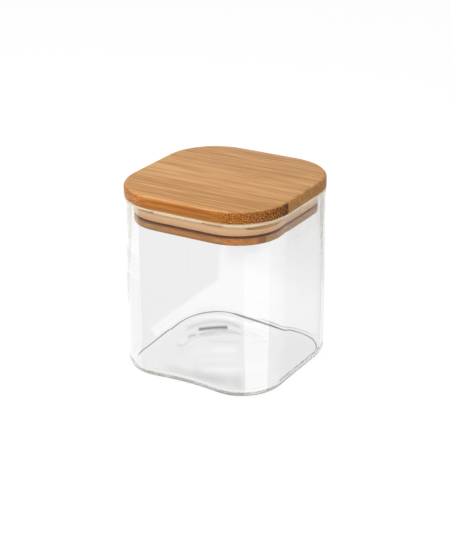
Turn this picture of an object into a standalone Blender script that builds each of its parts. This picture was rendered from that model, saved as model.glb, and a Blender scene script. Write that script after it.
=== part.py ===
"""Square glass storage jar with a bamboo stopper lid.

The jar is one moulded glass shell: round-cornered in plan, with a fire-polished rim, sides that draw in
towards the base, and a round push-up in its floor. The lid is a board glued on a narrower plug, and a
silicone seal sits round the plug's neck, with a lip that wipes the inside of the glass.

Metres, +Z up. The jar stands on z = 0, centred on the Z axis, with its sides along X and Y.
"""

import math

import bmesh
import bpy
from mathutils import Vector

# Glass jar
JAR_WIDTH = 0.100
JAR_HEIGHT = 0.1038
JAR_CORNER_RADIUS = 0.031
GLASS_WALL = 0.002
FLOOR_THICKNESS = 0.003
HEEL_RADIUS = 0.0055
FLOOR_FILLET_RADIUS = 0.004

# Base of the jar: its sides draw in, the front and back most, and the middle of its floor is pushed up
BASE_INSET = 0.0008
BASE_CORNER_RADIUS = 0.028
FRONT_DRAW_IN = 0.0036
SIDE_DRAW_IN = 0.0003
DRAW_IN_HEIGHT = 0.035
DRAW_IN_REACH_SHARE = 0.85
PUSH_UP_RADIUS = 0.028
PUSH_UP_RISE = 0.0018
PUSH_UP_SLOPE_WIDTH = 0.005
PUSH_UP_CROWN = 0.0004
CROWN_RADIUS_SHARES = (0.5, 0.125)
FLOOR_RING_SPREAD = 0.002

# Lid board, which lines up with the outside of the jar
BOARD_THICKNESS = 0.007
BOARD_TOP_ROUNDING = 0.002
BOARD_BOTTOM_ROUNDING = 0.0005

# Plug under the board: a flange below, a narrower neck above it
PLUG_GAP = 0.0022
PLUG_DEPTH = 0.0138
FLANGE_HEIGHT = 0.0043
FLANGE_ROUNDING = 0.0006
NECK_DEPTH = 0.003

# Silicone seal round the neck
SEAL_PROUD = 0.0003
SEAL_FOOT_WIDTH = 0.0014
SEAL_BAND_THICKNESS = 0.0012
SEAL_SHADOW_GAP = 0.001
SEAL_HEADROOM = 0.0008
LIP_HEIGHT = 0.0036
LIP_TIP_HEIGHT = 0.0012
LIP_THICKNESS = 0.0009
LIP_NOTCH_DEPTH = 0.0022

# Clearance between pieces that rest on, sit in or wipe each other
CLEARANCE = 0.0003

# Facets
CORNER_SEGMENTS = 12
SIDE_SEGMENTS = 6
HEEL_STEPS = 5
DRAW_IN_STEPS = 6
RIM_STEPS = 6
SLOPE_STEPS = 5
EDGE_STEPS = 3
LIP_STEPS = 4
SHARP_ANGLE = math.radians(35)

# Places worked out from the sizes
JAR_HALF_WIDTH = JAR_WIDTH / 2
BOARD_UNDERSIDE = JAR_HEIGHT + CLEARANCE
PLUG_INSET = GLASS_WALL + PLUG_GAP
NECK_INSET = PLUG_INSET + NECK_DEPTH
FLANGE_TOP = FLANGE_HEIGHT - PLUG_DEPTH


def clear_scene():
    for item in list(bpy.data.objects):
        bpy.data.objects.remove(item)


def surface(name, colour, roughness, metallic, transmission=0.0, ior=1.5):
    """A Principled material: linear colour, roughness, metallic value and how much light passes through."""
    material = bpy.data.materials.new(name)
    material.use_nodes = True
    shader = material.node_tree.nodes["Principled BSDF"]
    shader.inputs["Base Color"].default_value = (*colour, 1)
    shader.inputs["Roughness"].default_value = roughness
    shader.inputs["Metallic"].default_value = metallic
    shader.inputs["Transmission Weight"].default_value = transmission
    shader.inputs["IOR"].default_value = ior
    material.diffuse_color = (*colour, 1)
    return material


def smooth(share):
    """Eases from 0 to 1 with level ends."""
    share = min(max(share, 0), 1)
    return share * share * (3 - 2 * share)


def plan_directions():
    """Unit directions from the middle to points spaced evenly along the jar's corners and its sides."""
    straight = JAR_HALF_WIDTH - JAR_CORNER_RADIUS
    directions = []
    for quarter in range(4):
        turn = math.radians(90 * quarter)
        points = []
        for step in range(SIDE_SEGMENTS):
            points.append(Vector((JAR_HALF_WIDTH, straight * (2 * step / SIDE_SEGMENTS - 1))))
        for step in range(CORNER_SEGMENTS):
            angle = math.radians(90 * step / CORNER_SEGMENTS)
            points.append(Vector((straight + JAR_CORNER_RADIUS * math.cos(angle),
                                  straight + JAR_CORNER_RADIUS * math.sin(angle))))
        for point in points:
            x = point.x * math.cos(turn) - point.y * math.sin(turn)
            y = point.x * math.sin(turn) + point.y * math.cos(turn)
            directions.append(Vector((x, y)).normalized())
    return directions


DIRECTIONS = plan_directions()


def edge_distance(direction, half_width, corner_radius):
    """How far a round-cornered square's edge lies from its middle in one direction."""
    x, y = abs(direction.x), abs(direction.y)
    straight = half_width - corner_radius
    if min(x, y) * half_width <= straight * max(x, y):
        return half_width / max(x, y)
    along = straight * (x + y)
    return along + math.sqrt(along ** 2 - 2 * straight ** 2 + corner_radius ** 2)


def draw_in_at(height):
    """1 at the base and over its heel, easing to 0 where the walls stand straight."""
    return 1 - smooth((height - HEEL_RADIUS) / (DRAW_IN_HEIGHT - HEEL_RADIUS))


def drawn_in(point, amount):
    """Moves a plan point inward, most at the middle of each side and not at all at the corners."""
    reach = DRAW_IN_REACH_SHARE * JAR_HALF_WIDTH
    across = math.cos(math.pi / 2 * min(abs(point.x) / reach, 1)) ** 2
    along = math.cos(math.pi / 2 * min(abs(point.y) / reach, 1)) ** 2
    return Vector((point.x - amount * SIDE_DRAW_IN * along * point.x / JAR_HALF_WIDTH,
                   point.y - amount * FRONT_DRAW_IN * across * point.y / JAR_HALF_WIDTH))


def plan_loop(inset, height, amount=0):
    """A loop that follows the jar's outside, set in from it. amount is its share of the draw-in."""
    half_width = JAR_HALF_WIDTH - BASE_INSET * amount - inset
    corner_radius = JAR_CORNER_RADIUS + (BASE_CORNER_RADIUS - JAR_CORNER_RADIUS) * amount - inset
    loop = []
    for direction in DIRECTIONS:
        point = drawn_in(direction * edge_distance(direction, half_width, corner_radius), amount)
        loop.append((point.x, point.y, height))
    return loop


def round_loop(radius, height):
    return [(direction.x * radius, direction.y * radius, height) for direction in DIRECTIONS]


def arc(centre_inset, centre_height, radius, start, end, steps):
    """Section points on an arc as (inset, height). 0 degrees points outward and 90 degrees up."""
    points = []
    for step in range(steps + 1):
        angle = math.radians(start + (end - start) * step / steps)
        points.append((centre_inset - radius * math.cos(angle), centre_height + radius * math.sin(angle)))
    return points


def loft(name, loops, material, parent=None, ring=False):
    """A closed solid skinned over its loops, which run outward, up and back in.

    It is capped at both ends, or, as a ring, joined from its last loop to its first.
    """
    bm = bmesh.new()
    rings = [[bm.verts.new(point) for point in loop] for loop in loops]
    pairs = list(zip(rings, rings[1:]))
    if ring:
        pairs.append((rings[-1], rings[0]))
    else:
        bm.faces.new(reversed(rings[0]))
        bm.faces.new(rings[-1])
    for first, second in pairs:
        for place in range(len(first)):
            after = (place + 1) % len(first)
            bm.faces.new((first[place], first[after], second[after], second[place]))
    mesh = bpy.data.meshes.new(name)
    bm.to_mesh(mesh)
    bm.free()
    mesh.shade_smooth()
    mesh.set_sharp_from_angle(angle=SHARP_ANGLE)
    mesh.materials.append(material)
    piece = bpy.data.objects.new(name, mesh)
    piece.parent = parent
    bpy.context.scene.collection.objects.link(piece)
    return piece


def push_up(foot_radius, foot_height):
    """Round loops from the foot of the push-up's slope in to the middle of its crown."""
    top_radius = foot_radius - PUSH_UP_SLOPE_WIDTH
    top_height = foot_height + PUSH_UP_RISE
    loops = []
    for step in range(SLOPE_STEPS + 1):
        share = step / SLOPE_STEPS
        radius = foot_radius - PUSH_UP_SLOPE_WIDTH * share
        loops.append(round_loop(radius, foot_height + PUSH_UP_RISE * smooth(share)))
    for share in CROWN_RADIUS_SHARES:
        loops.append(round_loop(top_radius * share, top_height + PUSH_UP_CROWN * (1 - share ** 2)))
    return loops


def glass_jar(glass):
    """The shell in one run: underside, heel, outside wall, rim, inside wall and floor."""
    underside = push_up(PUSH_UP_RADIUS, 0)
    underside.reverse()

    heel = arc(HEEL_RADIUS, HEEL_RADIUS, HEEL_RADIUS, -90, 0, HEEL_STEPS)
    floor_corner = arc(GLASS_WALL + FLOOR_FILLET_RADIUS, FLOOR_THICKNESS + FLOOR_FILLET_RADIUS,
                       FLOOR_FILLET_RADIUS, 0, -90, HEEL_STEPS)
    rim_radius = GLASS_WALL / 2
    rim = arc(rim_radius, JAR_HEIGHT - rim_radius, rim_radius, 0, 180, RIM_STEPS)

    outside_start = heel[-1][1]
    inside_end = floor_corner[0][1]
    outside = []
    inside = []
    for step in range(1, DRAW_IN_STEPS + 1):
        share = step / DRAW_IN_STEPS
        outside.append((0, outside_start + (DRAW_IN_HEIGHT - outside_start) * share))
        inside.append((GLASS_WALL, inside_end + (DRAW_IN_HEIGHT - inside_end) * share))
    inside.reverse()

    section = heel + outside + rim + inside + floor_corner
    walls = [plan_loop(inset, height, draw_in_at(height)) for inset, height in section]
    floor = push_up(PUSH_UP_RADIUS + FLOOR_RING_SPREAD, FLOOR_THICKNESS)
    return loft("glass_jar", underside + walls + floor, glass)


def slab_edge(inset, bottom, top, bottom_rounding, top_rounding):
    """Section points up the edge of a flat board, round its bottom and top corners."""
    lower = arc(inset + bottom_rounding, bottom + bottom_rounding, bottom_rounding, -90, 0, EDGE_STEPS)
    upper = arc(inset + top_rounding, top - top_rounding, top_rounding, 0, 90, EDGE_STEPS)
    return lower + upper


def lid_board(bamboo, lid):
    """The top board, level with the jar's sides, with a soft top edge."""
    section = slab_edge(0, 0, BOARD_THICKNESS, BOARD_BOTTOM_ROUNDING, BOARD_TOP_ROUNDING)
    loops = [plan_loop(inset, height) for inset, height in section]
    return loft("lid_board", loops, bamboo, parent=lid)


def lid_plug(bamboo, lid):
    """The board under the top board: a flange that fills the mouth, and the neck that carries the seal."""
    section = slab_edge(PLUG_INSET, -PLUG_DEPTH, FLANGE_TOP, FLANGE_ROUNDING, FLANGE_ROUNDING)
    section += [(NECK_INSET, FLANGE_TOP), (NECK_INSET, 0)]
    loops = [plan_loop(inset, height) for inset, height in section]
    return loft("lid_plug", loops, bamboo, parent=lid)


def lid_seal(silicone, lid):
    """The seal's section: a band round the neck on a narrow foot, with a lip that flares up to the glass.

    The foot stands on the flange. Beside it the band is undercut, which leaves the dark line that shows
    between seal and flange. A notch behind the lip lets it bend.
    """
    neck_face = NECK_INSET - CLEARANCE
    band_face = PLUG_INSET - SEAL_PROUD
    tip_face = GLASS_WALL + CLEARANCE
    foot_face = neck_face - SEAL_FOOT_WIDTH
    notch_face = neck_face - SEAL_BAND_THICKNESS
    foot_bottom = FLANGE_TOP + CLEARANCE
    band_bottom = FLANGE_TOP + SEAL_SHADOW_GAP
    top = -SEAL_HEADROOM
    lip_root = top - LIP_HEIGHT
    tip_bottom = top - LIP_TIP_HEIGHT
    notch_bottom = top - LIP_NOTCH_DEPTH

    def lip_face(height):
        return band_face + (tip_face - band_face) * smooth((height - lip_root) / (tip_bottom - lip_root))

    section = [(neck_face, foot_bottom), (foot_face, foot_bottom)]
    section += [(foot_face, band_bottom), (band_face, band_bottom)]
    for step in range(LIP_STEPS + 1):
        height = lip_root + (tip_bottom - lip_root) * step / LIP_STEPS
        section.append((lip_face(height), height))
    section.append((tip_face, top))
    for step in range(LIP_STEPS + 1):
        height = top + (notch_bottom - top) * step / LIP_STEPS
        section.append((lip_face(height) + LIP_THICKNESS, height))
    section += [(notch_face, notch_bottom), (notch_face, top), (neck_face, top)]
    loops = [plan_loop(inset, height) for inset, height in section]
    return loft("lid_seal", loops, silicone, parent=lid, ring=True)


def build():
    clear_scene()
    glass = surface("clear_glass", (0.95, 0.97, 0.96), 0.02, 0.0, transmission=1.0, ior=1.47)
    board_bamboo = surface("bamboo_board", (0.62, 0.33, 0.14), 0.45, 0.0)
    plug_bamboo = surface("bamboo_plug", (0.50, 0.24, 0.09), 0.50, 0.0)
    silicone = surface("clear_silicone", (0.85, 0.83, 0.78), 0.35, 0.0, transmission=0.6, ior=1.41)

    glass_jar(glass)

    lid = bpy.data.objects.new("lid", None)
    lid.location = (0, 0, BOARD_UNDERSIDE)
    bpy.context.scene.collection.objects.link(lid)
    lid_board(board_bamboo, lid)
    lid_plug(plug_bamboo, lid)
    lid_seal(silicone, lid)


build()
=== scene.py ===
"""Looks of a square glass storage jar with a bamboo stopper lid.

The visible pieces follow the sections of the CAD solids with finer steps, and take their places from the
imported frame. Metres, +Z up, in the frame's own axes: the jar stands on z = 0, centred on the Z axis.
"""

import math

import bmesh
import bpy
from mathutils import Matrix, Vector


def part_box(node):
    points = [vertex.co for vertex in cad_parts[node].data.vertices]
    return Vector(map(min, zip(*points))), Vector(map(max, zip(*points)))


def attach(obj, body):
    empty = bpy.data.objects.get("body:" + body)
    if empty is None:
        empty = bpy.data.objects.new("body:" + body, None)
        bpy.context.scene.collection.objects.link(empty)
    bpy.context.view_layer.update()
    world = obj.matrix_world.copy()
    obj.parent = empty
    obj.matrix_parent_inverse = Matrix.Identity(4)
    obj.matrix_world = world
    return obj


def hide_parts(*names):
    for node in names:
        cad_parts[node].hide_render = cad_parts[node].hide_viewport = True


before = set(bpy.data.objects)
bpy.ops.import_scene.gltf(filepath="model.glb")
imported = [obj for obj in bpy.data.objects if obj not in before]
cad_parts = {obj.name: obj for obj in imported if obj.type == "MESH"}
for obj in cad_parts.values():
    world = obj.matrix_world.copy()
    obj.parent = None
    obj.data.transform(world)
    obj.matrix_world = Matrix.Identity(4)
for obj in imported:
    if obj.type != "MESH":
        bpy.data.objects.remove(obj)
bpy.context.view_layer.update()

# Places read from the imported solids
JAR_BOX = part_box("glass_jar")
BOARD_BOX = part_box("lid_board")
PLUG_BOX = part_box("lid_plug")
SEAL_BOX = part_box("lid_seal")
JAR_HALF_WIDTH = JAR_BOX[1].x
JAR_HEIGHT = JAR_BOX[1].z
BOARD_BOTTOM = BOARD_BOX[0].z
BOARD_TOP = BOARD_BOX[1].z
PLUG_BOTTOM = PLUG_BOX[0].z
PLUG_INSET = JAR_HALF_WIDTH - PLUG_BOX[1].x
SEAL_BOTTOM = SEAL_BOX[0].z
SEAL_TOP = SEAL_BOX[1].z
SEAL_TIP_INSET = JAR_HALF_WIDTH - SEAL_BOX[1].x

# Glass shell. The push-up is wider and flatter than in the CAD, and so bends light as faintly as in the photo
JAR_CORNER_RADIUS = 0.031
GLASS_WALL = 0.002
FLOOR_THICKNESS = 0.003
HEEL_RADIUS = 0.0055
FLOOR_FILLET_RADIUS = 0.004
BASE_INSET = 0.0008
BASE_CORNER_RADIUS = 0.028
FRONT_DRAW_IN = 0.0036
SIDE_DRAW_IN = 0.0003
DRAW_IN_HEIGHT = 0.035
DRAW_IN_REACH_SHARE = 0.85
PUSH_UP_RADIUS = 0.034
PUSH_UP_RISE = 0.0011
PUSH_UP_SLOPE_WIDTH = 0.015
PUSH_UP_CROWN = 0.0002
FLOOR_RISE_SHARE = 0.4

# Boards of the lid
BOARD_TOP_ROUNDING = 0.002
BOARD_BOTTOM_ROUNDING = 0.0005
FLANGE_HEIGHT = 0.0043
FLANGE_ROUNDING = 0.0006
NECK_DEPTH = 0.003
NECK_INSET = PLUG_INSET + NECK_DEPTH

# Seal. Its foot is narrower than in the CAD, which leaves a dark groove under the band
SEAL_PROUD = 0.0003
SEAL_FOOT_WIDTH = 0.0008
SEAL_BAND_THICKNESS = 0.0012
SEAL_SHADOW_GAP = 0.0011
SEAL_EDGE_ROUNDING = 0.00025
LIP_HEIGHT = 0.0036
LIP_TIP_HEIGHT = 0.0012
LIP_THICKNESS = 0.0009
LIP_NOTCH_DEPTH = 0.0022
CLEARANCE = 0.0003

# Mesh steps. The last is how far to each side the points of a loop are averaged
CORNER_SEGMENTS = 84
SIDE_SEGMENTS = 92
HEEL_STEPS = 20
FLOOR_FILLET_STEPS = 14
DRAW_IN_STEPS = 22
RIM_STEPS = 12
SLOPE_STEPS = 14
CROWN_STEPS = 8
EDGE_STEPS = 8
SEAL_EDGE_STEPS = 4
LIP_STEPS = 10
SHARP_ANGLE = math.radians(40)
SOFTENED_STEPS = 11


def smooth(share):
    """Eases from 0 to 1 with level ends."""
    share = min(max(share, 0), 1)
    return share * share * (3 - 2 * share)


def plan_directions():
    """Unit directions from the middle to points spaced evenly along the jar's corners and its sides."""
    straight = JAR_HALF_WIDTH - JAR_CORNER_RADIUS
    directions = []
    for quarter in range(4):
        turn = Matrix.Rotation(math.radians(90 * quarter), 2)
        for step in range(SIDE_SEGMENTS):
            point = Vector((JAR_HALF_WIDTH, straight * (2 * step / SIDE_SEGMENTS - 1)))
            directions.append((turn @ point).normalized())
        for step in range(CORNER_SEGMENTS):
            angle = math.radians(90 * step / CORNER_SEGMENTS)
            point = Vector((straight + JAR_CORNER_RADIUS * math.cos(angle),
                            straight + JAR_CORNER_RADIUS * math.sin(angle)))
            directions.append((turn @ point).normalized())
    return directions


DIRECTIONS = plan_directions()


def edge_distance(direction, half_width, corner_radius):
    """How far a round-cornered square's edge lies from its middle in one direction."""
    x, y = abs(direction.x), abs(direction.y)
    straight = half_width - corner_radius
    if min(x, y) * half_width <= straight * max(x, y):
        return half_width / max(x, y)
    along = straight * (x + y)
    return along + math.sqrt(along ** 2 - 2 * straight ** 2 + corner_radius ** 2)


def draw_in_at(height):
    """1 at the base and over its heel, easing to 0 where the walls stand straight."""
    return 1 - smooth((height - HEEL_RADIUS) / (DRAW_IN_HEIGHT - HEEL_RADIUS))


def drawn_in(point, amount):
    """Moves a plan point inward, most at the middle of each side and not at all at the corners."""
    reach = DRAW_IN_REACH_SHARE * JAR_HALF_WIDTH
    across = math.cos(math.pi / 2 * min(abs(point.x) / reach, 1)) ** 2
    along = math.cos(math.pi / 2 * min(abs(point.y) / reach, 1)) ** 2
    return Vector((point.x - amount * SIDE_DRAW_IN * along * point.x / JAR_HALF_WIDTH,
                   point.y - amount * FRONT_DRAW_IN * across * point.y / JAR_HALF_WIDTH))


def softened(points):
    """Averages each point with its neighbours, so that the bend of a corner starts gradually."""
    weights = {step: SOFTENED_STEPS - abs(step) for step in range(1 - SOFTENED_STEPS, SOFTENED_STEPS)}
    total = sum(weights.values())
    made = []
    for place in range(len(points)):
        point = Vector((0, 0))
        for step, weight in weights.items():
            point += points[(place + step) % len(points)] * (weight / total)
        made.append(point)
    return made


def plan_loop(inset, height, amount=0):
    """A loop that follows the jar's outside, set in from it. amount is its share of the draw-in."""
    half_width = JAR_HALF_WIDTH - BASE_INSET * amount - inset
    corner_radius = JAR_CORNER_RADIUS + (BASE_CORNER_RADIUS - JAR_CORNER_RADIUS) * amount - inset
    points = [drawn_in(direction * edge_distance(direction, half_width, corner_radius), amount)
              for direction in DIRECTIONS]
    return [(point.x, point.y, height) for point in softened(points)]


def round_loop(radius, height):
    return [(direction.x * radius, direction.y * radius, height) for direction in DIRECTIONS]


def arc(centre_inset, centre_height, radius, start, end, steps):
    """Section points on an arc as (inset, height). 0 degrees points outward and 90 degrees up."""
    points = []
    for step in range(steps + 1):
        angle = math.radians(start + (end - start) * step / steps)
        points.append((centre_inset - radius * math.cos(angle), centre_height + radius * math.sin(angle)))
    return points


def loft(name, loops, material, ring=False):
    """A closed mesh over its loops, capped at both ends or, as a ring, joined from last to first."""
    bm = bmesh.new()
    rings = [[bm.verts.new(point) for point in loop] for loop in loops]
    pairs = list(zip(rings, rings[1:]))
    if ring:
        pairs.append((rings[-1], rings[0]))
    else:
        for cap, loop in ((list(reversed(rings[0])), loops[0]), (rings[-1], loops[-1])):
            middle = bm.verts.new((0, 0, loop[0][2]))
            for place in range(len(cap)):
                bm.faces.new((cap[place], cap[(place + 1) % len(cap)], middle))
    for first, second in pairs:
        for place in range(len(first)):
            after = (place + 1) % len(first)
            bm.faces.new((first[place], first[after], second[after], second[place]))
    mesh = bpy.data.meshes.new(name)
    bm.to_mesh(mesh)
    bm.free()
    mesh.shade_smooth()
    mesh.set_sharp_from_angle(angle=SHARP_ANGLE)
    mesh.materials.append(material)
    piece = bpy.data.objects.new(name, mesh)
    bpy.context.scene.collection.objects.link(piece)
    return piece


def loft_section(name, section, material, ring=False):
    """A piece that follows the jar's plan, from its section as (inset, height) points."""
    return loft(name, [plan_loop(inset, height) for inset, height in section], material, ring)


def push_up(foot_height, rise_share):
    """Round loops from the foot of the push-up's slope in to the middle of its crown."""
    loops = []
    rise = PUSH_UP_RISE * rise_share
    for step in range(SLOPE_STEPS + 1):
        share = step / SLOPE_STEPS
        radius = PUSH_UP_RADIUS - PUSH_UP_SLOPE_WIDTH * share
        loops.append(round_loop(radius, foot_height + rise * smooth(share)))
    for step in range(1, CROWN_STEPS):
        share = 1 - step / CROWN_STEPS
        radius = (PUSH_UP_RADIUS - PUSH_UP_SLOPE_WIDTH) * share
        loops.append(round_loop(radius, foot_height + rise + PUSH_UP_CROWN * rise_share * (1 - share ** 2)))
    return loops


def make_jar(material):
    """The glass shell in one run: underside, heel, outside wall, rim, inside wall and floor."""
    underside = push_up(0, 1)
    underside.reverse()
    heel = arc(HEEL_RADIUS, HEEL_RADIUS, HEEL_RADIUS, -90, 0, HEEL_STEPS)
    fillet_top = FLOOR_THICKNESS + FLOOR_FILLET_RADIUS
    floor_corner = arc(GLASS_WALL + FLOOR_FILLET_RADIUS, fillet_top, FLOOR_FILLET_RADIUS, 0, -90,
                       FLOOR_FILLET_STEPS)
    rim_radius = GLASS_WALL / 2
    rim = arc(rim_radius, JAR_HEIGHT - rim_radius, rim_radius, 0, 180, RIM_STEPS)
    outside = []
    inside = []
    for step in range(1, DRAW_IN_STEPS + 1):
        share = step / DRAW_IN_STEPS
        outside.append((0, HEEL_RADIUS + (DRAW_IN_HEIGHT - HEEL_RADIUS) * share))
        inside.append((GLASS_WALL, fillet_top + (DRAW_IN_HEIGHT - fillet_top) * share))
    inside.reverse()
    section = heel + outside + rim + inside + floor_corner
    walls = [plan_loop(inset, height, draw_in_at(height)) for inset, height in section]
    floor = push_up(FLOOR_THICKNESS, FLOOR_RISE_SHARE)
    return loft("jar_glass", underside + walls + floor, material)


def slab_edge(inset, bottom, top, bottom_rounding, top_rounding):
    """Section points up the edge of a flat board, round its bottom and top corners."""
    lower = arc(inset + bottom_rounding, bottom + bottom_rounding, bottom_rounding, -90, 0, EDGE_STEPS)
    upper = arc(inset + top_rounding, top - top_rounding, top_rounding, 0, 90, EDGE_STEPS)
    return lower + upper


def make_board(material):
    section = slab_edge(0, BOARD_BOTTOM, BOARD_TOP, BOARD_BOTTOM_ROUNDING, BOARD_TOP_ROUNDING)
    return loft_section("board_bamboo", section, material)


def make_plug(material):
    flange_top = PLUG_BOTTOM + FLANGE_HEIGHT
    section = slab_edge(PLUG_INSET, PLUG_BOTTOM, flange_top, FLANGE_ROUNDING, FLANGE_ROUNDING)
    section += [(NECK_INSET, flange_top), (NECK_INSET, BOARD_BOTTOM)]
    return loft_section("plug_bamboo", section, material)


def make_seal(material):
    """The seal: a foot on the flange, an undercut band and a lip that flares up to the glass."""
    neck_face = NECK_INSET - CLEARANCE
    band_face = PLUG_INSET - SEAL_PROUD
    foot_face = neck_face - SEAL_FOOT_WIDTH
    notch_face = neck_face - SEAL_BAND_THICKNESS
    band_bottom = SEAL_BOTTOM + SEAL_SHADOW_GAP
    lip_root = SEAL_TOP - LIP_HEIGHT
    tip_bottom = SEAL_TOP - LIP_TIP_HEIGHT
    notch_bottom = SEAL_TOP - LIP_NOTCH_DEPTH
    rounding = SEAL_EDGE_ROUNDING

    def lip_face(height):
        flare = smooth((height - lip_root) / (tip_bottom - lip_root))
        return band_face + (SEAL_TIP_INSET - band_face) * flare

    section = [(neck_face, SEAL_BOTTOM), (foot_face, SEAL_BOTTOM), (foot_face, band_bottom)]
    section += arc(band_face + rounding, band_bottom + rounding, rounding, -90, 0, SEAL_EDGE_STEPS)
    for step in range(LIP_STEPS + 1):
        height = lip_root + (tip_bottom - lip_root) * step / LIP_STEPS
        section.append((lip_face(height), height))
    section += arc(SEAL_TIP_INSET + rounding, SEAL_TOP - rounding, rounding, 0, 90, SEAL_EDGE_STEPS)
    for step in range(LIP_STEPS + 1):
        height = SEAL_TOP + (notch_bottom - SEAL_TOP) * step / LIP_STEPS
        section.append((lip_face(height) + LIP_THICKNESS, height))
    section += [(notch_face, notch_bottom), (notch_face, SEAL_TOP), (neck_face, SEAL_TOP)]
    return loft_section("seal_silicone", section, material, ring=True)


WHITE = (1, 1, 1, 1)
BLACK = (0, 0, 0, 1)


def grey(level):
    return (level, level, level, 1)


def linear(red, green, blue):
    """A linear colour from 0 to 255 display values."""
    channels = []
    for value in (red, green, blue):
        share = value / 255
        channels.append(share / 12.92 if share <= 0.04045 else ((share + 0.055) / 1.055) ** 2.4)
    return (*channels, 1)


class Tree:
    """A node tree with short calls for adding and linking nodes."""

    def __init__(self, owner):
        owner.use_nodes = True
        self.nodes = owner.node_tree.nodes
        self.links = owner.node_tree.links
        self.nodes.clear()

    def set(self, socket, value):
        """Links another socket to this one, or gives it a value."""
        if isinstance(value, bpy.types.NodeSocket):
            self.links.new(value, socket)
        else:
            socket.default_value = value

    def add(self, kind, inputs=(), **settings):
        """Adds a node. inputs are (socket name or number, value or socket) pairs."""
        made = self.nodes.new(kind)
        for name, value in settings.items():
            setattr(made, name, value)
        for socket, value in inputs:
            self.set(made.inputs[socket], value)
        return made

    def math(self, operation, *values, clamp=False):
        made = self.add("ShaderNodeMath", enumerate(values), operation=operation, use_clamp=clamp)
        return made.outputs[0]

    def total(self, value, *others):
        for other in others:
            value = self.math("ADD", value, other)
        return value

    def product(self, value, *others):
        for other in others:
            value = self.math("MULTIPLY", value, other)
        return value

    def inverted(self, share):
        """1 where the share is 0, and 0 where it is 1."""
        return self.math("SUBTRACT", 1.0, share)

    def off(self, value, target):
        """How far a value is from its target, on either side."""
        return self.math("ABSOLUTE", self.math("SUBTRACT", value, target))

    def ramp(self, value, low, high, new_low=0.0, new_high=1.0, easing="SMOOTHSTEP"):
        """Maps low..high to new_low..new_high and holds it there."""
        made = self.add("ShaderNodeMapRange", [
            ("Value", value), ("From Min", low), ("From Max", high), ("To Min", new_low), ("To Max", new_high),
        ], interpolation_type=easing)
        return made.outputs["Result"]

    def between(self, share, first, second):
        """Goes evenly from a first number to a second."""
        return self.ramp(share, 0.0, 1.0, first, second, "LINEAR")

    def mix(self, share, first, second, blend="MIX"):
        """Mixes two colours. A colour mix node has them at its sockets 6 and 7, and its result at 2."""
        made = self.add("ShaderNodeMix", [(0, share), (6, first), (7, second)], data_type="RGBA",
                        blend_type=blend)
        return made.outputs[2]

    def vector(self, operation, first, second):
        return self.add("ShaderNodeVectorMath", [(0, first), (1, second)], operation=operation).outputs[0]

    def split(self, vector):
        """The X, Y and Z of a vector."""
        return self.add("ShaderNodeSeparateXYZ", [(0, vector)]).outputs

    def along(self, parts, azimuth):
        """How far a place or way goes from the Z axis towards an azimuth."""
        return self.total(self.product(parts["X"], math.cos(azimuth)), self.product(parts["Y"], math.sin(azimuth)))

    def noise(self, place, cycles, detail, roughness):
        """Noise with so many cycles a metre along X, Y and Z."""
        made = self.add("ShaderNodeTexNoise", [("Vector", self.vector("MULTIPLY", place, cycles)), ("Scale", 1.0),
                                               ("Detail", detail), ("Roughness", roughness)])
        return made.outputs["Fac"]

    def bump(self, relief, strength, depth):
        """A surface's normal over its relief, whose depth is in metres."""
        made = self.add("ShaderNodeBump", [("Strength", strength), ("Distance", depth), ("Height", relief)])
        return made.outputs[0]

    def ray(self, kind):
        return self.add("ShaderNodeLightPath").outputs[kind]

    def mirrored(self, times):
        """1 for light that was mirrored at least so many times on its way, and 0 for other light."""
        return self.math("GREATER_THAN", self.ray("Glossy Depth"), times - 0.5)

    def glassed(self):
        """1 for light that comes through glass or off a mirror, and 0 for other light."""
        return self.math("ADD", self.ray("Is Glossy Ray"), self.ray("Is Transmission Ray"), clamp=True)

    def blend(self, share, first, second):
        """Mixes two surfaces."""
        return self.add("ShaderNodeMixShader", [(0, share), (1, first), (2, second)]).outputs[0]

    def clear_in_shadow(self, shader, colour):
        """Lets a piece cast only a shadow of this colour."""
        clear = self.add("ShaderNodeBsdfTransparent", [("Color", colour)])
        return self.blend(self.ray("Is Shadow Ray"), shader.outputs[0], clear.outputs[0])

    def finish(self, surface, **others):
        """Sets the output. others may have its Volume."""
        self.add("ShaderNodeOutputMaterial", [("Surface", surface), *others.items()])


# Where most of a noise's values lie
NOISE_MIDDLE = (0.3, 0.7)

# Bamboo strips. A joint is the Y of one glue line, and the strips repeat from there
STRIP_WIDTH = 0.0330
BOARD_JOINT = -0.0184
PLUG_JOINT = -0.0308
STRIP_SHUFFLE = 7.0
JOINT_LINE_WIDTH = 0.00016
JOINT_LINE_STREAKS = (0.3, 0.6)
JOINT_LINE_DARKNESS = (0.25, 0.7)

# Bamboo grain. Each noise has its cycles a metre along X, Y and Z, its detail and its roughness
STREAKS = ((13, 560, 560), 3.0, 0.65)
HAIRS = ((30, 1500, 1500), 2.0, 0.6)
BANDS = ((4, 130, 130), 2.0, 0.5)
STREAKS_SHARE = 0.42
HAIRS_SHARE = 0.43
BANDS_SHARE = 0.15
STRIP_TONE_SHARE = 0.06
GRAIN_RANGE = (0.39, 0.61)
HAIRS_RELIEF = 0.6
STREAKS_RELIEF = 0.4
JOINT_RELIEF = 1.2
WOOD_BUMP = (0.35, 0.00012)
WOOD_ROUGHNESS = (0.62, 0.42)
WOOD_IOR = 1.45
WOOD_SPECULAR = 0.28

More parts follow.
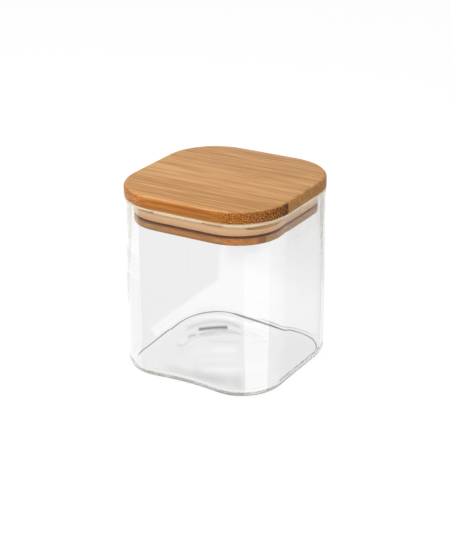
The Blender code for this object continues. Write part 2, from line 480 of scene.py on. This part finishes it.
# Dots of fibre on the ends: how many, how wide in cells, and how strong in plain and in crowded strips. They are
# spaced wider where the face turns away from -X, because the photo shows the front left corner at a slant
DOTS_A_METRE = (880, 1060)
DOT_SCATTER = 0.7
DOT_GROWTH = (0.3, 1.0)
DOT_RADIUS = (0.28, 0.38)
DOT_SOFTNESS = 0.2
PLAIN_DOTS = 0.16
CROWDING = (0.0, 0.5)
CROWDED_DOTS = (0.85, 1.0)
CROWDED_EVERY = 3.0
CROWDED_STRIP = 2.0
RIND = (0.80, 0.97)
RIND_DARKNESS = 0.6
RIND_DOT_DARKNESS = 0.5
SLANT_START = (-0.95, -0.75)
SLANT_END = (-0.1, 0.1)
SLANTED_SPACING = 0.42

# Where a side turns into the top, by the Z of its normal, and into an end, by the X, and how worn the edges are
TOP_NORMALS = (0.5, 0.85)
RIGHT_END_NORMALS = (0.14, 0.3)
LEFT_END_NORMALS = (-0.42, -0.22)
EDGE_WEAR = 0.5

# The plug's top above its ledge, which backs the seal's groove, is darkened as painted shade for the groove's
# shadow. Towards -X the plug is greyed as a painted reflection, for the reflection in the glass over it there
LEDGE_EDGE = 0.0002
LEDGE_SHADE = 0.0003
LEDGE_SHADE_DARKNESS = 0.9
GROOVE_SHADE_COLOUR = linear(106, 54, 8)
WOOD_REFLECTION_REACH = (-0.028, -0.006)
WOOD_REFLECTION_TINT = (0.70, 1.02, 1.7, 1)

# Light and dark of each kind of face, and the colour of the pores
BOARD_COLOURS = {
    "top": (linear(225, 172, 114), linear(183, 130, 77)),
    "side": (linear(186, 118, 48), linear(148, 86, 30)),
    "crowded": (linear(212, 134, 54), linear(184, 110, 36)),
    "plain": (linear(196, 142, 82), linear(162, 110, 58)),
    "pore": linear(66, 30, 6),
}
PLUG_COLOURS = {
    "top": (linear(190, 140, 90), linear(160, 110, 64)),
    "side": (linear(188, 130, 62), linear(148, 92, 36)),
    "crowded": (linear(222, 142, 54), linear(188, 112, 36)),
    "plain": (linear(186, 140, 92), linear(150, 106, 64)),
    "pore": linear(106, 60, 26),
}
BOARD_DOT_DEPTH = 1.0
PLUG_DOT_DEPTH = 0.4
BOARD_REFLECTION_SHARE = 0.0
PLUG_REFLECTION_SHARE = 0.8


def bamboo_end(tree, parts, normal, across, dot_depth, crowded, plain, pore):
    """Colour of a board's ends: dots of fibre, crowded in every third strip towards its dark rind.

    The dots are laid out over |X| - |Y| and Z, which carries them evenly round the corners.
    """
    round_corner = tree.math("SUBTRACT", tree.math("ABSOLUTE", parts["X"]), tree.math("ABSOLUTE", parts["Y"]))
    spacing = tree.math("MAXIMUM", tree.ramp(normal["X"], *SLANT_START, 1.0, SLANTED_SPACING),
                        tree.ramp(normal["X"], *SLANT_END))
    spread = tree.add("ShaderNodeCombineXYZ", [(0, tree.product(round_corner, spacing)), (1, parts["Z"])])
    cells = tree.add("ShaderNodeTexVoronoi", [
        ("Vector", tree.vector("MULTIPLY", spread.outputs[0], (*DOTS_A_METRE, 1))), ("Scale", 1.0),
        ("Randomness", DOT_SCATTER)], feature="F1", voronoi_dimensions="2D")
    third = tree.math("COMPARE", tree.math("FLOORED_MODULO", tree.math("FLOOR", across), CROWDED_EVERY),
                      CROWDED_STRIP, 0.5)
    through = tree.math("FRACT", across)
    core = tree.ramp(through, *DOT_GROWTH, *DOT_RADIUS)
    dots = tree.ramp(cells.outputs["Distance"], core, tree.total(core, DOT_SOFTNESS), 1.0, 0.0)
    dense = tree.between(third, PLAIN_DOTS, tree.ramp(through, *CROWDING, *CROWDED_DOTS))
    rind = tree.product(third, tree.ramp(through, *RIND, 0.0, RIND_DARKNESS))
    cut = tree.mix(rind, tree.mix(third, plain, crowded), pore)
    deep = tree.mix(rind, pore, tree.mix(RIND_DOT_DARKNESS, pore, BLACK))
    return tree.mix(tree.product(dots, dense, dot_depth), cut, deep)


def bamboo(name, joint, dot_depth, ledge, reflection_share, colours):
    """Laminated bamboo with its grain along X: streaks on top and sides, dots of fibre on the ends.

    Above the height ledge the wood is darkened as painted shade, for the shadow in the groove behind a seal. The
    argument after ledge is how strongly a painted reflection greys the wood towards -X.
    """
    material = bpy.data.materials.new(name)
    tree = Tree(material)
    coords = tree.add("ShaderNodeTexCoord").outputs
    place = coords["Object"]
    parts = tree.split(place)
    normal = tree.split(coords["Normal"])

    across = tree.math("DIVIDE", tree.math("SUBTRACT", parts["Y"], joint), STRIP_WIDTH)
    own = tree.add("ShaderNodeTexWhiteNoise", [("W", tree.math("FLOOR", across))], noise_dimensions="1D").outputs
    shuffled = tree.vector("ADD", place, tree.vector("MULTIPLY", own["Color"], (STRIP_SHUFFLE,) * 3))
    streaks, hairs, bands = (tree.noise(shuffled, *layer) for layer in (STREAKS, HAIRS, BANDS))
    grain = tree.total(tree.product(streaks, STREAKS_SHARE), tree.product(hairs, HAIRS_SHARE),
                       tree.product(bands, BANDS_SHARE),
                       tree.product(tree.math("SUBTRACT", own["Value"], 0.5), STRIP_TONE_SHARE))
    share = tree.ramp(grain, *GRAIN_RANGE)
    top, side, crowded, plain = (tree.mix(share, colours[part][1], colours[part][0])
                                 for part in ("top", "side", "crowded", "plain"))
    pore = colours["pore"]

    topness = tree.ramp(tree.math("ABSOLUTE", normal["Z"]), *TOP_NORMALS)
    endness = tree.math("MAXIMUM", tree.ramp(normal["X"], *RIGHT_END_NORMALS),
                        tree.ramp(normal["X"], *LEFT_END_NORMALS, 1.0, 0.0))
    end = bamboo_end(tree, parts, normal, across, dot_depth, crowded, plain, pore)
    colour = tree.mix(topness, tree.mix(endness, side, end), top)
    # Painted reflection: the wood turns bluish grey towards -X
    colour = tree.mix(tree.ramp(parts["X"], *WOOD_REFLECTION_REACH, reflection_share, 0.0), colour, WOOD_REFLECTION_TINT, "MULTIPLY")

    off_joint = tree.product(tree.off(tree.math("FRACT", tree.total(across, 0.5)), 0.5), STRIP_WIDTH)
    line = tree.product(tree.ramp(off_joint, 0.0, JOINT_LINE_WIDTH, 1.0, 0.0),
                        tree.ramp(streaks, *JOINT_LINE_STREAKS, *JOINT_LINE_DARKNESS))
    colour = tree.mix(line, colour, pore)
    colour = tree.mix(tree.product(topness, tree.inverted(topness), EDGE_WEAR), colour, side)
    # Painted shade: above the ledge the wood darkens, for the shadow in the seal's groove
    groove_shade = tree.ramp(parts["Z"], ledge - LEDGE_EDGE, ledge, 0.0, LEDGE_SHADE_DARKNESS)
    colour = tree.mix(groove_shade, colour, GROOVE_SHADE_COLOUR)

    relief = tree.total(tree.product(hairs, HAIRS_RELIEF), tree.product(streaks, STREAKS_RELIEF),
                        tree.product(line, -JOINT_RELIEF))
    shader = tree.add("ShaderNodeBsdfPrincipled", [
        ("Base Color", colour), ("Roughness", tree.ramp(hairs, *NOISE_MIDDLE, *WOOD_ROUGHNESS)),
        ("Normal", tree.bump(relief, *WOOD_BUMP)), ("IOR", WOOD_IOR), ("Specular IOR Level", WOOD_SPECULAR)])
    tree.finish(shader.outputs[0])
    return material


# Glass. Ripples and haze are noises as above. The heel's grey tint is painted shade for its dark outline. It grows
# as its surface turns down, in two stages of (start, end, share), and ends where the underside is flat. The rim's
# cream tint and diffuse share are a painted glow, for the light that the wall carries up to it
RIPPLES = ((90, 90, 4), 2.0, 0.5)
GLASS_BUMP = (0.025, 0.0004)
HAZE = ((45, 45, 45), 4.0, 0.6)
HAZE_RANGE = (0.45, 0.8)
HAZE_ROUGHNESS = 0.02
HEEL_TURNS = ((0.05, 0.35, 0.4), (0.35, 0.62, 0.6))
FLAT_UNDERSIDE = (0.97, 0.995)
HEEL_SHADE_TINT = (0.36, 0.365, 0.35, 1)
RIM_GLOW_TINT = (0.92, 0.80, 0.54, 1)
RIM_GLOW_DEPTH = 0.0010
RIM_GLOW_SHARE = 0.35
GLASS_IOR = 1.47
GLASS_SHADOW = (0.93, 0.94, 0.93, 1)
GLASS_BODY_COLOUR = (0.72, 0.77, 0.62, 1)
GLASS_BODY_DENSITY = 0.3


def glass():
    """Clear borosilicate: faint ripples from forming, painted shade on the heel, a painted glow on the rim,
    and a green cast where it is thick.
    """
    material = bpy.data.materials.new("glass")
    tree = Tree(material)
    coords = tree.add("ShaderNodeTexCoord").outputs
    place = coords["Object"]
    level = tree.split(place)["Z"]
    down = tree.product(tree.split(coords["Normal"])["Z"], -1.0)
    # Painted shade: the heel greys as its surface turns down
    turned = tree.total(*(tree.ramp(down, start, end, 0.0, share) for start, end, share in HEEL_TURNS))
    heel = tree.product(turned, tree.ramp(down, *FLAT_UNDERSIDE, 1.0, 0.0),
                        tree.ramp(level, HEEL_RADIUS, 2 * HEEL_RADIUS, 1.0, 0.0))
    # Painted glow: the rim turns cream and partly diffuse
    rim = tree.ramp(level, JAR_HEIGHT - RIM_GLOW_DEPTH, JAR_HEIGHT - RIM_GLOW_DEPTH / 2)
    tint = tree.mix(rim, tree.mix(heel, WHITE, HEEL_SHADE_TINT), RIM_GLOW_TINT)
    haze = tree.ramp(tree.noise(place, *HAZE), *HAZE_RANGE, 0.0, HAZE_ROUGHNESS)
    shader = tree.add("ShaderNodeBsdfPrincipled", [
        ("Base Color", tint), ("Roughness", haze), ("IOR", GLASS_IOR),
        ("Transmission Weight", tree.inverted(tree.product(rim, RIM_GLOW_SHARE))),
        ("Normal", tree.bump(tree.noise(place, *RIPPLES), *GLASS_BUMP))])
    body = tree.add("ShaderNodeVolumeAbsorption", [("Color", GLASS_BODY_COLOUR), ("Density", GLASS_BODY_DENSITY)])
    tree.finish(tree.clear_in_shadow(shader, GLASS_SHADOW), Volume=body.outputs[0])
    return material


# Silicone. Clouds and specks are noises as above. The band darkens towards its foot as painted shade, and the lip
# is paler, partly as thin silicone and partly as a painted highlight. Towards -X painted shade greys the seal, and
# towards
# +Y a painted reflection pales it, each over a reach with a tint
CLOUDS = ((60, 60, 160), 3.0, 0.55)
SPECKS = ((2600, 2600, 2600), 2.0, 0.5)
SEAL_BUMP = (0.2, 0.00005)
BAND_COLOURS = (linear(232, 182, 130), linear(244, 204, 156))
BAND_FOOT_SHADE_COLOUR = linear(216, 162, 110)
LIP_PALE_AND_LIT_COLOUR = linear(250, 224, 182)
SEAL_SHADE_REACH = (-0.028, -0.010)
SEAL_SHADE_TINT = (0.87, 0.86, 0.87, 1)
SEAL_REFLECTION_REACH = (-0.004, 0.014)
SEAL_REFLECTION_TINT = (1.08, 1.15, 1.15, 1)
SEAL_ROUGHNESS = (0.28, 0.42)
SEAL_CLARITY = (0.16, 0.28)
SEAL_IOR = 1.41
SEAL_SHADOW = (0.88, 0.82, 0.74, 1)

# Where the seal's lip lies on the glass and shows the bamboo's colour: azimuth and half its length in degrees,
# drop below the lip's top and half its height. A dark edge lies under each lighter middle
CONTACTS = (
    (-116.5, 7.0, 0.0015, 0.0006),
    (-67.0, 7.0, 0.0015, 0.0005),
    (-30.0, 18.0, 0.0030, 0.0014),
    (40.0, 9.0, 0.0014, 0.0005),
    (103.0, 7.0, 0.0014, 0.0005),
    (150.0, 12.0, 0.0020, 0.0007),
)
CONTACT_FRAY = 0.6
CONTACT_LAYERS = ((0.9, 1.1, linear(146, 90, 44)), (0.5, 0.85, linear(204, 146, 84)))


def silicone():
    """Milky clear silicone: part of the light goes through it to the bamboo behind."""
    material = bpy.data.materials.new("silicone")
    tree = Tree(material)
    place = tree.add("ShaderNodeTexCoord").outputs["Object"]
    parts = tree.split(place)
    level = parts["Z"]
    cloud = tree.noise(place, *CLOUDS)
    lip_root = SEAL_TOP - LIP_HEIGHT
    low = tree.ramp(level, SEAL_BOTTOM, lip_root, 1.0, 0.0)
    # Painted shade: the band darkens towards its foot
    band = tree.mix(low, tree.mix(cloud, *BAND_COLOURS), BAND_FOOT_SHADE_COLOUR)
    # The lip is paler, partly as thin silicone and partly as a painted highlight
    colour = tree.mix(tree.ramp(level, lip_root, SEAL_TOP - LIP_TIP_HEIGHT), band, LIP_PALE_AND_LIT_COLOUR)
    # Painted shade: the seal greys towards -X
    colour = tree.mix(tree.ramp(parts["X"], *SEAL_SHADE_REACH, 1.0, 0.0), colour, SEAL_SHADE_TINT, "MULTIPLY")
    # Painted reflection: the seal pales towards +Y
    colour = tree.mix(tree.ramp(parts["Y"], *SEAL_REFLECTION_REACH), colour, SEAL_REFLECTION_TINT, "MULTIPLY")

    around = tree.math("ARCTAN2", parts["Y"], parts["X"])
    fray = tree.product(tree.math("SUBTRACT", cloud, 0.5), CONTACT_FRAY)
    for azimuth, half_angle, drop, half_height in CONTACTS:
        aside = tree.math("SUBTRACT", around, math.radians(azimuth))
        aside = tree.math("DIVIDE", aside, math.radians(half_angle))
        above = tree.math("DIVIDE", tree.math("SUBTRACT", level, SEAL_TOP - drop), half_height)
        off = tree.total(tree.product(aside, aside), tree.product(above, above), fray)
        for start, end, stain in CONTACT_LAYERS:
            colour = tree.mix(tree.ramp(off, start, end, 1.0, 0.0), colour, stain)
    # Painted shade: the seal's foot in the groove is dark and opaque, for the groove's shadow
    groove_top = SEAL_BOTTOM + SEAL_SHADOW_GAP
    groove_shade = tree.ramp(level, groove_top - SEAL_EDGE_ROUNDING, groove_top, 1.0, 0.0)
    colour = tree.mix(groove_shade, colour, GROOVE_SHADE_COLOUR)

    clarity = tree.product(tree.ramp(cloud, *NOISE_MIDDLE, *SEAL_CLARITY), tree.inverted(groove_shade))
    shader = tree.add("ShaderNodeBsdfPrincipled", [
        ("Base Color", colour), ("Roughness", tree.ramp(cloud, *NOISE_MIDDLE, *SEAL_ROUGHNESS)),
        ("IOR", SEAL_IOR), ("Transmission Weight", clarity),
        ("Normal", tree.bump(tree.noise(place, *SPECKS), *SEAL_BUMP))])
    tree.finish(tree.clear_in_shadow(shader, SEAL_SHADOW))
    return material


def dress():
    """Builds each visible piece, sets it on its body and has it stand for its CAD node."""
    no_ledge = 2 * BOARD_TOP
    shaded_ledge = PLUG_BOTTOM + FLANGE_HEIGHT - LEDGE_SHADE
    board_wood = bamboo("board_wood", BOARD_JOINT, BOARD_DOT_DEPTH, no_ledge, BOARD_REFLECTION_SHARE, BOARD_COLOURS)
    plug_wood = bamboo("plug_wood", PLUG_JOINT, PLUG_DOT_DEPTH, shaded_ledge, PLUG_REFLECTION_SHARE, PLUG_COLOURS)
    for piece, node, body, slot in (
        (make_jar(glass()), "glass_jar", "jar", "clear_glass"),
        (make_board(board_wood), "lid_board", "lid", "bamboo_board"),
        (make_plug(plug_wood), "lid_plug", "lid", "bamboo_plug"),
        (make_seal(silicone()), "lid_seal", "lid", "clear_silicone"),
    ):
        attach(piece, body)
        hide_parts(node)


# Glass keeps light inside for long
LIGHT_BOUNCES = 1024

# Camera, fitted to the outlines of lid and glass in the photo
CAMERA_AZIMUTH = math.radians(30.987)
CAMERA_ELEVATION = math.radians(22.859)
CAMERA_ROLL = math.radians(-0.343)
CAMERA_DISTANCE = 0.8813
CAMERA_SIDE = -0.00081
CAMERA_RISE = 0.04846
CAMERA_LENS = 99.32
SENSOR_WIDTH = 36.0
BASE_LEVEL = 0.0011
AWAY_AZIMUTH = CAMERA_AZIMUTH + math.pi / 2


def make_camera():
    azimuth, elevation = CAMERA_AZIMUTH, CAMERA_ELEVATION
    back = Vector((math.sin(azimuth) * math.cos(elevation), -math.cos(azimuth) * math.cos(elevation),
                   math.sin(elevation)))
    level = Vector((math.cos(azimuth), math.sin(azimuth), 0))
    rise = back.cross(level)
    right = level * math.cos(CAMERA_ROLL) + rise * math.sin(CAMERA_ROLL)
    up = rise * math.cos(CAMERA_ROLL) - level * math.sin(CAMERA_ROLL)
    eye = back * CAMERA_DISTANCE + level * CAMERA_SIDE + rise * CAMERA_RISE + Vector((0, 0, BASE_LEVEL))
    data = bpy.data.cameras.new("camera")
    data.lens = CAMERA_LENS
    data.sensor_width = SENSOR_WIDTH
    camera = bpy.data.objects.new("camera", data)
    camera.matrix_world = Matrix((right, up, back)).transposed().to_4x4()
    camera.location = eye
    bpy.context.scene.collection.objects.link(camera)
    bpy.context.scene.camera = camera


# Floor. It glows and keeps some shade, more when seen straight than through glass
FLOOR_SIZE = 6.0
FLOOR_DIFFUSE = 0.8
FLOOR_DROP = 0.0003
GLOW_SEEN = 0.90
SHADE_SEEN = 0.16
GLOW_THROUGH = 0.97
SHADE_THROUGH = 0.03

# Seen through the glass, the floor is white over an area by the jar and pale grey beyond. Past each bend the
# area's left edge leans by a slope, and before its foot by another, up to a most. The last two are painted shade
# on the floor under the jar
TABLE_TONE = 0.89
WHITE_AREA_LEFT = -0.0585
WHITE_AREA_BENDS = ((0.036, -0.10), (0.080, 0.70))
WHITE_AREA_FOOT = (0.008, 1.3, 0.0115)
WHITE_AREA_EDGE = 0.005
WHITE_AREA_FADE = (0.085, 0.150)
UNDER_JAR_SHADE_EDGE = (-0.0012, 0.0002)
UNDER_JAR_SHADE_TONE = 0.97

# Lines of shade along the jar's far heel: distance outside its plan, half the width at left and right, depth,
# and the X where each starts and ends
HEEL_LINES = (
    (-0.0036, 0.0013, 0.0028, 0.80, -0.10, 0.10),
    (0.0008, 0.0009, 0.0011, 0.60, -0.01, 0.025),
)
HEEL_LINE_END = 0.015
HEEL_LINE_MIDDLE = (0.0, 0.010)
HEEL_LINE_TIP = (0.028, 0.046)
HEEL_LINE_TIP_SHARE = 0.5
HEEL_LINE_FADE = (-0.004, 0.001)

# Curved marks under the base, of painted shade, and of painted light where the depth is below 0: start, end and
# fade at the ends, measured to the camera's right, where the curve peaks, how far beyond the middle it lies there,
# its bend, half its width and its depth
SHADE_AND_LIGHT_MARKS = (
    (-0.0175, 0.0009, 0.0015, -0.0033, 0.0333, 8.5, 0.0040, 0.80),
    (-0.0250, 0.0100, 0.0030, -0.0078, 0.0414, 31.0, 0.0052, 0.20),
    (-0.0180, 0.0100, 0.0030, -0.0030, 0.0300, 23.0, 0.0018, 0.20),
    (-0.0235, -0.0175, 0.0010, -0.0160, 0.0258, 100.0, 0.0040, 0.34),
    (-0.0300, -0.0220, 0.0020, -0.0281, 0.0112, -140.0, 0.0024, 0.18),
    (-0.0120, 0.0095, 0.0040, 0.0000, 0.0155, 0.0, 0.0040, 0.07),
    (-0.0420, 0.0095, 0.0160, 0.0107, -0.0362, -8.2, 0.0120, 0.15),
    (-0.0160, 0.0095, 0.0050, 0.0000, -0.0210, 0.0, 0.0060, -0.06),
    (-0.0110, 0.0075, 0.0050, 0.0000, 0.0048, 0.0, 0.0050, -0.06),
    (-0.0180, 0.0070, 0.0050, 0.0000, -0.0080, 0.0, 0.0040, -0.05),
    (-0.0260, 0.0095, 0.0080, 0.0000, 0.0060, 10.0, 0.0160, -0.04),
    (-0.0240, 0.0200, 0.0080, -0.0050, 0.0440, 20.0, 0.0060, -0.07),
    (-0.0220, 0.0080, 0.0050, -0.0111, 0.0472, 17.0, 0.0030, -0.06),
    (-0.0060, 0.0300, 0.0100, 0.0120, 0.1450, 0.0, 0.0380, 0.09),
    (-0.0220, 0.0120, 0.0060, 0.0076, -0.0380, -21.0, 0.0160, 0.08),
    (0.0010, 0.0115, 0.0050, 0.0076, -0.0380, 0.0, 0.0200, 0.11),
)

# Tones for light that was mirrored on its way: once, by distance beyond the jar, and more often, as light is
# that stays trapped inside the wall
MIRRORED_REACH = (0.12, 0.24)
MIRRORED_TONE = (0.92, 1.40)
MIRRORED_END = (0.26, 0.31)
TRAPPED_TONE = 0.82

# World. Between the heights of DOME_RISE its white turns into the studio overhead. That has one level for soft
# light, and for light through glass another in front of the jar, behind it and once trapped inside the wall
DOME_RISE = (0.13, 0.32)
DOME_LEVEL = 0.32
DOME_BACK = (0.2, 0.7)
GLASSY_FRONT = 0.90
GLASSY_BACK = 0.50
GLASSY_TRAPPED = 0.80


def flat_piece(name, corners, height, material):
    """A flat face on the table, as part of the stage."""
    mesh = bpy.data.meshes.new(name)
    mesh.from_pydata([(x, y, height) for x, y in corners], [], [list(range(len(corners)))])
    mesh.materials.append(material)
    piece = bpy.data.objects.new(name, mesh)
    bpy.context.scene.collection.objects.link(piece)
    return piece


def white_area_tone(tree, x, y):
    """White by the jar, with a left edge that bends away, fading into pale grey beyond."""
    inward = tree.math("SUBTRACT", x, WHITE_AREA_LEFT)
    for start, slope in WHITE_AREA_BENDS:
        past = tree.math("MAXIMUM", tree.math("SUBTRACT", y, start), 0.0)
        inward = tree.total(inward, tree.product(past, slope))
    start, slope, most = WHITE_AREA_FOOT
    before = tree.math("MAXIMUM", tree.math("SUBTRACT", start, y), 0.0)
    inward = tree.math("SUBTRACT", inward, tree.math("MINIMUM", tree.product(before, slope), most))
    white_area = tree.product(tree.ramp(inward, -WHITE_AREA_EDGE, 0.0), tree.ramp(y, *WHITE_AREA_FADE, 1.0, 0.0))
    return tree.between(white_area, TABLE_TONE, 1.0)


def outside_jar(tree, x, y):
    """How far a place on the table lies outside the jar's plan."""
    straight = JAR_HALF_WIDTH - JAR_CORNER_RADIUS
    squares = []
    for part in (x, y):
        past = tree.math("MAXIMUM", tree.math("SUBTRACT", tree.math("ABSOLUTE", part), straight), 0.0)
        squares.append(tree.product(past, past))
    return tree.math("SUBTRACT", tree.math("SQRT", tree.total(*squares)), JAR_CORNER_RADIUS)


def heel_shades(tree, x, outside, beside, beyond):
    """The lines along the heel, as shares to take off a tone. They turn narrower towards the right tip."""
    far = tree.ramp(beyond, *HEEL_LINE_FADE)
    tip = tree.ramp(beside, *HEEL_LINE_TIP, 1.0, HEEL_LINE_TIP_SHARE)
    shades = []
    for offset, left_reach, right_reach, depth, start, end in HEEL_LINES:
        reach = tree.product(tree.ramp(beside, *HEEL_LINE_MIDDLE, left_reach, right_reach), tip)
        shades.append(tree.product(tree.ramp(tree.off(outside, offset), 0.0, reach, depth, 0.0),
                                   tree.ramp(x, start, start + HEEL_LINE_END),
                                   tree.ramp(x, end, end + HEEL_LINE_END, 1.0, 0.0), far))
    return shades


def mark_shades(tree, beside, beyond):
    """The curved marks of painted shade and light, as shares to take off a tone."""
    shades = []
    for start, end, fade, peak, level, bend, reach, depth in SHADE_AND_LIGHT_MARKS:
        aside = tree.math("SUBTRACT", beside, peak)
        curve = tree.math("SUBTRACT", level, tree.product(aside, aside, bend))
        shades.append(tree.product(tree.ramp(tree.off(beyond, curve), 0.0, reach, depth, 0.0),
                                   tree.ramp(beside, start, start + fade),
                                   tree.ramp(beside, end - fade, end, 1.0, 0.0)))
    return shades


def table_tone(tree):
    """How bright the table looks through the glass.

    Light that came straight through sees the white area with its painted shade lines and marks. Light that was
    mirrored sees a plain table, and light that was mirrored more often sees one even tone.
    """
    place = tree.split(tree.add("ShaderNodeTexCoord").outputs["Object"])
    x, y = place["X"], place["Y"]
    outside = outside_jar(tree, x, y)
    beside = tree.along(place, CAMERA_AZIMUTH)
    beyond = tree.along(place, AWAY_AZIMUTH)
    # Painted shade on the floor under the jar
    tone = tree.product(white_area_tone(tree, x, y), tree.ramp(outside, *UNDER_JAR_SHADE_EDGE, UNDER_JAR_SHADE_TONE, 1.0))
    for shade in heel_shades(tree, x, outside, beside, beyond) + mark_shades(tree, beside, beyond):
        tone = tree.product(tone, tree.inverted(shade))
    plain = tree.math("MINIMUM", tree.ramp(beyond, *MIRRORED_REACH, *MIRRORED_TONE),
                      tree.ramp(beyond, *MIRRORED_END, MIRRORED_TONE[1], TRAPPED_TONE))
    return tree.between(tree.mirrored(1), tone, tree.between(tree.mirrored(2), plain, TRAPPED_TONE))


def lit_paper(tree, glow, shade, tone):
    """White that glows and keeps some shadow. tone dims both."""
    shaded = tree.add("ShaderNodeBsdfDiffuse", [("Color", tree.mix(tone, BLACK, grey(shade)))])
    light = tree.add("ShaderNodeEmission", [("Color", WHITE), ("Strength", tree.product(tone, glow))])
    return tree.add("ShaderNodeAddShader", [(0, shaded.outputs[0]), (1, light.outputs[0])]).outputs[0]


def make_floor():
    """A white floor. Seen directly it glows up to white, and it keeps the jar's shadow."""
    material = bpy.data.materials.new("floor")
    tree = Tree(material)
    paper = tree.add("ShaderNodeBsdfDiffuse", [("Color", grey(FLOOR_DIFFUSE))]).outputs[0]
    surface = tree.blend(tree.glassed(), paper, lit_paper(tree, GLOW_THROUGH, SHADE_THROUGH, table_tone(tree)))
    surface = tree.blend(tree.ray("Is Camera Ray"), surface, lit_paper(tree, GLOW_SEEN, SHADE_SEEN, 1.0))
    tree.finish(surface)
    reach = FLOOR_SIZE / 2
    corners = [(-reach, -reach), (reach, -reach), (reach, reach), (-reach, reach)]
    flat_piece("floor", corners, -FLOOR_DROP, material)


# Cards on the table that only the mirror of the jar's near walls sees. An edge has the X and Y of its foot by the
# jar and its azimuth. A card has its light, its first and last edge, and how near and far it reaches along them
CARD_STEPS = 8
CARD_LIFT = 0.0001
CARD_END = 0.6
LEFT_TURNS = (0.150, 0.205)
STRIPE_TURN = 0.108
STRIPE_END = 0.296
LEFT_BACK_EDGE = (-0.0444, -0.0368, -235.0)
LEFT_EDGE = (-0.0263, -0.0491, -152.0)
STRIPE_LEFT_EDGE = (0.0373, -0.0440, -47.8)
STRIPE_RIGHT_EDGE = (0.0466, -0.0330, 7.1)
RIGHT_EDGE = (0.0500, 0.0190, 80.0)
CARDS = (
    ("front_card", 0.02, STRIPE_LEFT_EDGE, LEFT_EDGE, 0.0, CARD_END),
    ("near_left_card", 1.20, LEFT_EDGE, LEFT_BACK_EDGE, 0.0, LEFT_TURNS[0]),
    ("middle_left_card", 1.55, LEFT_EDGE, LEFT_BACK_EDGE, *LEFT_TURNS),
    ("far_left_card", 2.20, LEFT_EDGE, LEFT_BACK_EDGE, LEFT_TURNS[1], CARD_END),
    ("near_stripe_card", 2.60, STRIPE_LEFT_EDGE, STRIPE_RIGHT_EDGE, 0.0, STRIPE_TURN),
    ("far_stripe_card", 1.00, STRIPE_LEFT_EDGE, STRIPE_RIGHT_EDGE, STRIPE_TURN, STRIPE_END),
    ("plug_card", 0.02, STRIPE_LEFT_EDGE, STRIPE_RIGHT_EDGE, STRIPE_END, CARD_END),
    ("side_card", 0.27, STRIPE_RIGHT_EDGE, RIGHT_EDGE, 0.0, CARD_END),
)


def make_cards():
    """Lays each card as a fan whose straight ends are its two edges."""
    steps = [step / CARD_STEPS for step in range(CARD_STEPS + 1)]
    for name, light, first, last, near, far in CARDS:
        material = bpy.data.materials.new(name)
        tree = Tree(material)
        tree.finish(tree.add("ShaderNodeEmission", [("Color", WHITE), ("Strength", light)]).outputs[0])
        outline = []
        for distance, shares in ((near, steps), (far, reversed(steps))):
            for share in shares:
                x, y, azimuth = (start + (end - start) * share for start, end in zip(first, last))
                turn = math.radians(azimuth)
                outline.append((x + distance * math.cos(turn), y + distance * math.sin(turn)))
        card = flat_piece(name, outline, CARD_LIFT - FLOOR_DROP, material)
        card.visible_camera = False
        card.visible_diffuse = False
        card.visible_transmission = False
        card.visible_shadow = False


def make_world():
    """White behind the object, and a dimmer studio overhead that only reflections and soft light see."""
    world = bpy.data.worlds.new("studio")
    bpy.context.scene.world = world
    tree = Tree(world)
    way = tree.split(tree.add("ShaderNodeTexCoord").outputs["Generated"])
    trapped = tree.mirrored(2)
    glassy = tree.ramp(tree.along(way, AWAY_AZIMUTH), *DOME_BACK, GLASSY_FRONT, GLASSY_BACK)
    glassy = tree.between(trapped, glassy, GLASSY_TRAPPED)
    overhead = tree.between(tree.glassed(), DOME_LEVEL, glassy)
    horizon = tree.between(trapped, 1.0, GLASSY_TRAPPED)
    level = tree.ramp(way["Z"], *DOME_RISE, horizon, overhead)
    strength = tree.math("MAXIMUM", level, tree.ray("Is Camera Ray"))
    sky = tree.add("ShaderNodeBackground", [("Color", WHITE), ("Strength", strength)])
    tree.add("ShaderNodeOutputWorld", [("Surface", sky.outputs[0])])


# Square lamps that point at the jar's middle: name, place, width, watts and whether mirrors see it
LAMPS = (
    ("overhead", (-0.20, -0.10, 1.30), 0.9, 3.6, True),
    ("key", (-0.38, -0.60, 0.53), 0.4, 4.5, False),
    ("fill", (1.0, -0.45, 0.62), 0.5, 3.0, True),
)


def make_lamps():
    middle = Vector((0, 0, JAR_HEIGHT / 2))
    for name, place, width, watts, mirrored in LAMPS:
        data = bpy.data.lights.new(name, "AREA")
        data.size = width
        data.energy = watts
        lamp = bpy.data.objects.new(name, data)
        lamp.location = place
        lamp.visible_transmission = False
        lamp.visible_glossy = mirrored
        lamp.rotation_euler = (middle - Vector(place)).to_track_quat("-Z", "Y").to_euler()
        bpy.context.scene.collection.objects.link(lamp)


dress()
make_camera()
make_floor()
make_cards()
make_world()
make_lamps()
bpy.context.scene.view_settings.view_transform = "Standard"
cycles = bpy.context.scene.cycles
cycles.max_bounces = cycles.glossy_bounces = cycles.transmission_bounces = LIGHT_BOUNCES
cycles.transparent_max_bounces = LIGHT_BOUNCES
